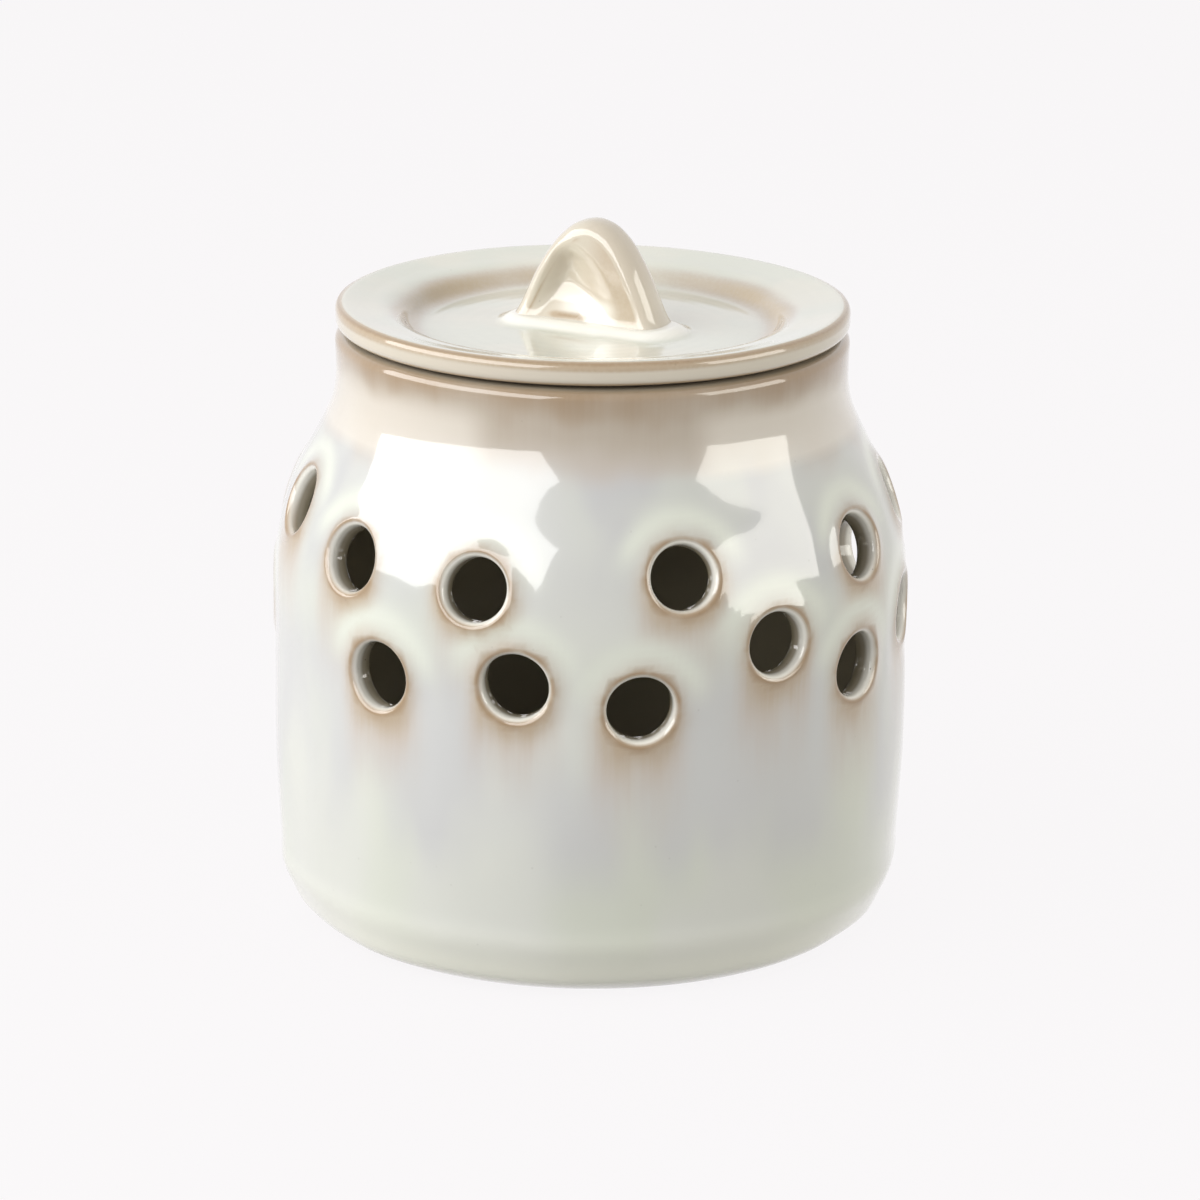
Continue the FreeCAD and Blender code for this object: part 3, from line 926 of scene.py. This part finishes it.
def make_handle(finish):
    flat_along, flat_aside, height, inward, faces = sweep_handle()
    spread = FLARE * np.exp(-height / FLARE_HEIGHT)
    reach = np.hypot(flat_along, flat_aside * 2) + 0.01
    aside = flat_aside + spread * np.sign(flat_aside) * soft_step(np.abs(flat_aside), 0.2, 2.5)
    along = flat_along + spread * flat_along / reach * soft_step(np.abs(flat_along), 9, 14)
    x = along * math.cos(HANDLE_TURN) - aside * math.sin(HANDLE_TURN)
    y = along * math.sin(HANDLE_TURN) + aside * math.cos(HANDLE_TURN) + HANDLE_SETBACK
    points = np.stack([x, y, height + DISH_FLOOR], axis=1)
    points += 0.04 * noise_at(points, 14.0, 31)[:, None] * (1, 1, 0)
    numbers = handle_numbers(flat_along, height, inward)
    return make_piece("handle_skin", points, faces, numbers, finish)


handle_glaze = bpy.data.materials.new("reactive_glazed_stoneware_handle")
handle = make_handle(handle_glaze)

# %% [markdown]
# ## The glaze
# A reactive glaze looks painted in layers, and the material is built the same way. Each layer is a
# colour and an amount: milky white at first, then the cool lilac cloud, the warm streak under each
# vent, the tan where the glaze is thin, and the green-white pool where it gathered at the base.
# The amounts come from the skin's numbers and from noise in real millimetres.
# Some layers are painted light. The paler sides of the neck are a painted reflection. The darker
# bores, inside and lid underside are partly painted shade. The white slip is partly painted
# highlight, and the white ramp in the handle's hollow is a painted reflection.


# %% Colour and noise helpers
def colour(code):
    """A colour written as sRGB hex, for a shader."""
    parts = [int(code[start:start + 2], 16) / 255 for start in (0, 2, 4)]
    return tuple(
        part / 12.92 if part <= 0.04045 else ((part + 0.055) / 1.055) ** 2.4 for part in parts
    ) + (1.0,)


def number(tree, name):
    """One of the skin's numbers."""
    return add(tree, "ShaderNodeAttribute", attribute_name=name).outputs["Fac"]


def mottle(tree, size, stretch=(1, 1, 1), detail=2.0, shift=0.0):
    """Noise whose spots are about one size wide, in millimetres, longer where stretched."""
    place = add(tree, "ShaderNodeTexCoord").outputs["Object"]
    scale = tuple(1 / (size * MM * part) for part in stretch)
    moved = add(tree, "ShaderNodeMapping", {
        "Vector": place, "Scale": scale, "Location": (shift, shift * 0.7, shift * 1.3),
    })
    made = add(tree, "ShaderNodeTexNoise", {
        "Vector": moved.outputs[0], "Scale": 1.0, "Detail": detail, "Roughness": 0.5,
    })
    return made.outputs["Fac"]


def rise(tree, value, low, high, bottom=0.0, top=1.0):
    """A smooth rise from bottom to top as the value goes from low to high."""
    made = add(tree, "ShaderNodeMapRange", {
        "Value": value, "From Min": low, "From Max": high, "To Min": bottom, "To Max": top,
    }, interpolation_type="SMOOTHSTEP")
    return made.outputs["Result"]


def layer(tree, under, over, amount):
    """One glaze layer over another."""
    mix = add(tree, "ShaderNodeMix", {0: amount, 6: under, 7: over}, data_type="RGBA")
    return mix.outputs[2]


def height_mm(tree):
    place = add(tree, "ShaderNodeTexCoord").outputs["Object"]
    up_axis = add(tree, "ShaderNodeSeparateXYZ", {0: place}).outputs["Z"]
    return times(tree, up_axis, 1 / MM)


# %% Colours of the glaze
MILK = colour("D2D3CB")
GREEN_WHITE = colour("D0D3C6")
LILAC = colour("C5C5C5")
COOL = colour("BDBDBD")
HALO = colour("D8DBCF")
PINK = colour("C2B7AD")
SAND = colour("B39F84")
ASH = colour("B3A695")
TAN = colour("967B58")
WARM_TAN = colour("BBA98D")
# The dark tan is the lid's unglazed underside, darkened further as painted shade in the crevice
# under the lid.
CLAY_TAN_AND_SHADE = colour("6E5639")
WHITE = colour("F4F2E9")
LID_WHITE = colour("DCDACD")
LID_GREEN = colour("D6D8CC")
CREAM = colour("CABFAD")
PALE_CREAM = colour("CFC7B6")
# The pearl colour is a painted reflection of the soft boxes on the sides of the neck.
PEARL_PAINTED_REFLECTION = colour("E0D9CD")
# The bore colour is painted shade for the inner half of each vent's bore.
BORE_PAINTED_SHADE = colour("A59C8B")
POOL = colour("ECECDD")
# The inside colour is a tan inner glaze, darkened further as painted shade.
INSIDE_TAN_AND_SHADE = colour("8F8671")
SPECK = colour("4A3A28")
FLOOR_GREY = colour("A3A2A1")
BACKGROUND = colour("F8F6F7")


# %% Shared by all three pieces: the layers, the gloss coat and the fine speckle
def start_tree(owner):
    """The empty node tree of a material or a world."""
    owner.use_nodes = True
    owner.node_tree.nodes.clear()
    return owner.node_tree


def paint(tree, tint, layers):
    """Layers over a first colour, the lowest first: each a colour and amounts that multiply."""
    for over, *amounts in layers:
        tint = layer(tree, tint, over, times(tree, *amounts))
    return tint


def speckle(tree, under, spacing, amount):
    """A few dark pinholes, each about a tenth as wide as their spacing in millimetres."""
    place = add(tree, "ShaderNodeTexCoord").outputs["Object"]
    dots = add(tree, "ShaderNodeTexVoronoi", {"Vector": place, "Scale": 1 / (spacing * MM)})
    near = rise(tree, dots.outputs["Distance"], 0.11, 0.06)
    rare = rise(tree, add(tree, "ShaderNodeSeparateColor", {
        0: dots.outputs["Color"],
    }).outputs[0], 0.88, 0.91)
    return layer(tree, under, SPECK, times(tree, near, rare, amount))


def finish_glaze(tree, tint):
    """A hard gloss glass over the colour, with the faint ripple of a flowed surface."""
    wave = mottle(tree, 5.0, detail=1.0, shift=4.0)
    grain = mottle(tree, 0.7, detail=2.0, shift=9.0)
    relief = math_node(tree, "ADD", wave, times(tree, grain, 0.02))
    bump = add(tree, "ShaderNodeBump", {
        "Height": relief, "Strength": 0.16, "Distance": 0.12 * MM,
    })
    shader = add(tree, "ShaderNodeBsdfPrincipled", {
        "Base Color": tint, "Roughness": 0.10, "IOR": 1.52, "Normal": bump.outputs[0],
        "Coat Weight": 0.7, "Coat Roughness": 0.015, "Coat IOR": 1.5,
        "Coat Normal": bump.outputs[0],
    })
    add(tree, "ShaderNodeOutputMaterial", {"Surface": shader.outputs[0]})


# %% The jar's glaze, layer by layer
# Heights between which a layer comes in, or goes out again, in millimetres
CLOUD_IN, CLOUD_OUT = (18, 34), (78, 60)
SHOULDER_IN, SHOULDER_OUT = (66, 88), (112, 103)
NECK_PINK, NECK_ASH, NECK_TAN = (98, 106), (100, 111), (110.5, 118.5)
POOL_IN, FOOT_TAN = (17, 3), (1.6, 0.4)


def glaze_the_jar(material):
    tree = start_tree(material)
    up_mm = height_mm(tree)
    green = rise(tree, mottle(tree, 34, (1, 1, 2.6)), 0.42, 0.60)
    streaks = mottle(tree, 0.9, stretch=(1, 1, 26), detail=2.0, shift=1.0)
    fine = rise(tree, streaks, 0.30, 0.72, 0.86, 1.0)
    faint = rise(tree, streaks, 0.30, 0.72, 0.94, 1.0)
    shoulder = times(tree, rise(tree, up_mm, *SHOULDER_IN), rise(tree, up_mm, *SHOULDER_OUT))
    low_cloud = times(tree, rise(tree, up_mm, *CLOUD_IN), rise(tree, up_mm, *CLOUD_OUT))
    cloud = rise(tree, mottle(tree, 24, (1, 1, 3), shift=2.0), 0.40, 0.62)
    edge_noise = rise(tree, mottle(tree, 6, (1, 1, 3), shift=5.0), 0.25, 0.65, 0.65, 1.0)
    wash = times(tree, number(tree, "wash"), fine, edge_noise)
    drip = times(tree, number(tree, "drip"), fine, edge_noise)
    wander = rise(tree, mottle(tree, 18, shift=7.0), 0.2, 0.8, -3.0, 3.0)
    neck_at = math_node(tree, "ADD", up_mm, wander)
    patchy = rise(tree, mottle(tree, 5.0, detail=2.0, shift=8.0), 0.30, 0.60, 0.55, 1.0)
    bore = number(tree, "bore")
    outside = number(tree, "outside")
    tint = paint(tree, MILK, (
        (GREEN_WHITE, green),
        (LILAC, low_cloud, cloud, 0.85),
        (COOL, shoulder, rise(tree, cloud, 0.0, 1.0, 0.55, 1.0)),
        (PINK, rise(tree, wash, 0.0, 0.9, 0.0, 0.75)),
        (SAND, rise(tree, drip, 0.0, 1.0, 0.0, 0.9)),
        (HALO, number(tree, "halo"), 0.95),
        (PINK, rise(tree, neck_at, *NECK_PINK), 0.7),
        (ASH, rise(tree, neck_at, *NECK_ASH), faint, 0.9),
        # Painted reflection: the sides of the neck paler where the soft boxes shine in it.
        (PEARL_PAINTED_REFLECTION, number(tree, "pale"), 0.62),
        (TAN, rise(tree, neck_at, *NECK_TAN), faint, 0.85),
        (SAND, number(tree, "blush"), patchy, 0.85),
        (TAN, number(tree, "lip"), patchy, 0.95),
        (WHITE, bore, 0.9),
        # Painted shade: the inner half of each bore darker, as it lies in shadow.
        (BORE_PAINTED_SHADE, rise(tree, outside, 0.80, 0.45)),
        # Inside the jar: tan glaze, painted darker as shade.
        (INSIDE_TAN_AND_SHADE, rise(tree, outside, 0.45, 0.10)),
        (POOL, rise(tree, up_mm, *POOL_IN), 0.9),
        (TAN, rise(tree, up_mm, *FOOT_TAN), 0.7),
    ))
    tint = speckle(tree, tint, 2.6, 0.10)
    tint = speckle(tree, tint, 1.3, times(tree, bore, 0.9))
    finish_glaze(tree, tint)


glaze_the_jar(jar_glaze)
print("jar glaze has", len(jar_glaze.node_tree.nodes), "nodes")


# %% The lid's glaze: white on the flats, tan where it ran off an edge
def glaze_the_lid(material, base, paler, tan_amount):
    tree = start_tree(material)
    streaks = mottle(tree, 0.8, detail=3.0, shift=3.0)
    fine = rise(tree, streaks, 0.3, 0.7, 0.86, 1.0)
    patchy = rise(tree, mottle(tree, 22, detail=1.0, shift=6.0), 0.32, 0.62, 0.6, 1.0)
    slope = times(tree, number(tree, "slope"), patchy, fine)
    edge = times(tree, number(tree, "edge"), fine, tan_amount)
    tint = paint(tree, base, (
        (paler, rise(tree, mottle(tree, 20), 0.4, 0.62)),
        (PINK, rise(tree, slope, 0.0, 0.5, 0.0, 0.75)),
        (WARM_TAN, rise(tree, slope, 0.05, 0.9, 0.0, 1.0)),
        (CREAM, number(tree, "side"), 0.85),
        (SAND, rise(tree, edge, 0.05, 0.5)),
        (TAN, rise(tree, edge, 0.5, 0.95), 0.7),
        # White slip on the lid, brightened as painted highlight; on the handle, a painted
        # reflection on the hollow's ramp.
        (WHITE, number(tree, "slip_white_and_highlight")),
        # The lid's underside: unglazed clay with painted shade in the crevice.
        (CLAY_TAN_AND_SHADE, number(tree, "under"), 0.8),
    ))
    finish_glaze(tree, speckle(tree, tint, 2.6, 0.15))


glaze_the_lid(lid_glaze, LID_WHITE, LID_GREEN, 1.0)
glaze_the_lid(handle_glaze, CREAM, PALE_CREAM, 0.8)

# %% [markdown]
# ## Joining the frame
# Each skin stands for the construction piece that it was made from, and rides on its body. The lid
# and its handle are one body, because they lift off together.

# %% Hide each construction piece and hang its skin on its body
for piece, node, body, finish in (
    (jar, "jar_body", "jar", "jar_glaze"),
    (lid, "lid_plate", "lid", "lid_glaze"),
    (handle, "lid_handle", "lid", "lid_glaze"),
):
    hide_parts(node)
    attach(piece, body)

# %% [markdown]
# ## Floor, light and camera
# The floor is pale and nearly shadowless, as on a studio table. A wide soft box stands at the left
# and a smaller, warmer one at the right. Their bright shapes on the shoulder tell the eye that the
# glaze is glass.


# %% The floor and the world
def pale_to_the_eye(tree, plain, pale, share):
    """The plain shader, with the pale one mixed in for what the eye and the gloss see."""
    path = add(tree, "ShaderNodeLightPath").outputs
    seen = math_node(tree, "MAXIMUM", path["Is Camera Ray"], path["Is Glossy Ray"])
    seen = math_node(tree, "MAXIMUM", seen, path["Is Transmission Ray"])
    mixed = add(tree, "ShaderNodeMixShader", {0: times(tree, seen, share), 1: plain, 2: pale})
    return mixed.outputs[0]


FLOOR_SIZE = 8.0
FLOOR_GLOW = 1.08
FLOOR_SHARE = 0.90


def make_floor():
    mesh = bpy.data.meshes.new("studio_floor")
    half = FLOOR_SIZE / 2
    corners = [(-half, -half, 0), (half, -half, 0), (half, half, 0), (-half, half, 0)]
    mesh.from_pydata(corners, [], [(0, 1, 2, 3)])
    material = bpy.data.materials.new("pale_studio_floor")
    tree = start_tree(material)
    plain = add(tree, "ShaderNodeBsdfDiffuse", {"Color": FLOOR_GREY})
    pale = add(tree, "ShaderNodeEmission", {"Color": BACKGROUND, "Strength": FLOOR_GLOW})
    surface = pale_to_the_eye(tree, plain.outputs[0], pale.outputs[0], FLOOR_SHARE)
    add(tree, "ShaderNodeOutputMaterial", {"Surface": surface})
    mesh.materials.append(material)
    put("studio_floor", mesh)


def light_the_world(low, high, behind):
    """Dim light from the room in front, more from above and from the pale backdrop behind."""
    world = bpy.data.worlds.new("studio")
    bpy.context.scene.world = world
    tree = start_tree(world)
    way = add(tree, "ShaderNodeTexCoord").outputs["Generated"]
    way = add(tree, "ShaderNodeSeparateXYZ", {0: way}).outputs
    above = rise(tree, way["Z"], 0.0, 1.0, low, high)
    strength = math_node(tree, "ADD", above, rise(tree, way["Y"], 0.0, 0.8, 0.0, behind))
    plain = add(tree, "ShaderNodeBackground", {"Color": (1, 1, 1, 1), "Strength": strength})
    pale = add(tree, "ShaderNodeBackground", {"Color": BACKGROUND, "Strength": 1.0})
    surface = pale_to_the_eye(tree, plain.outputs[0], pale.outputs[0], 1.0)
    add(tree, "ShaderNodeOutputWorld", {"Surface": surface})


make_floor()
light_the_world(low=0.08, high=0.50, behind=0.62)


# %% Soft boxes
BOX_DISTANCE = 1.1
BOX_AIM = Vector((0, 0, 0.08))


def soft_box(name, angle, height, width, tall, brightness, tint):
    """An area lamp that faces the jar: degrees from the front, then degrees above the table."""
    lamp = bpy.data.lights.new(name, "AREA")
    lamp.shape = "RECTANGLE"
    lamp.size = width
    lamp.size_y = tall
    lamp.energy = brightness * math.pi * width * tall
    lamp.color = tint
    made = put(name, lamp)
    turn = math.radians(angle)
    lift = math.radians(height)
    away = Vector((math.sin(turn) * math.cos(lift), -math.cos(turn) * math.cos(lift),
                   math.sin(lift)))
    made.location = away * BOX_DISTANCE + BOX_AIM
    made.rotation_euler = (BOX_AIM - made.location).to_track_quat("-Z", "Y").to_euler()
    made.visible_camera = False


soft_box("left_soft_box", angle=-62, height=24.5, width=1.86, tall=0.76,
         brightness=4.2, tint=(1.0, 1.0, 1.0))
soft_box("right_soft_box", angle=71, height=16, width=0.84, tall=0.60,
         brightness=3.7, tint=(1.0, 0.98, 0.91))

# %% The camera, as in the photograph
CAMERA_BACK = 1.0
CAMERA_UP = 0.3645
LOOK_DOWN = math.radians(16.78)
LENS = 157.1
ROLL = math.radians(0.54)
SHIFT = 0.0082


def make_camera():
    data = bpy.data.cameras.new("camera")
    data.lens = LENS
    data.sensor_width = 36.0
    data.shift_x = SHIFT
    data.clip_start = 0.05
    camera = put("camera", data)
    tilt = Matrix.Rotation(math.pi / 2 - LOOK_DOWN, 4, "X")
    roll = Matrix.Rotation(ROLL, 4, "Z")
    camera.matrix_world = Matrix.Translation((0, -CAMERA_BACK, CAMERA_UP)) @ tilt @ roll
    bpy.context.scene.camera = camera


make_camera()
bpy.context.scene.view_settings.view_transform = "Standard"
